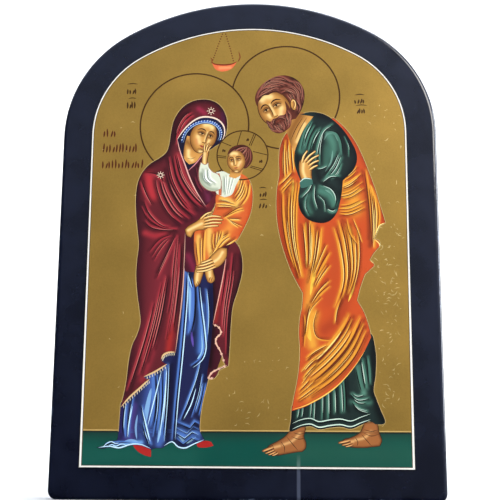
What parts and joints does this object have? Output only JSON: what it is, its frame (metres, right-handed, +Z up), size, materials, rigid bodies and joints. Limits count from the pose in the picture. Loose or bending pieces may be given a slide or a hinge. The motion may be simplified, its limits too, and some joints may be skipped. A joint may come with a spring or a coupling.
{
  "type": "religious icon",
  "caption": "Arched wooden icon panel, edges in dark lacquer, its face carrying a varnished printed picture of haloed robed figures on a gold ground; stands on its base.",
  "frame": {"origin": "middle of the footprint, on the surface that the panel stands on", "axes": "+Z up along the panel's height, +X to the picture's right-hand side as seen from the front, the picture faces -Y"},
  "size_m": [0.18, 0.0206, 0.24],
  "materials": {
    "board_lacquer": "gloss dark blue lacquer over a wooden board",
    "picture_print": "varnished colour print with a satin gold ground"
  },
  "bodies": {
    "root": {"board": "board_lacquer", "picture_sheet": "picture_print"}
  },
  "joints": []
}
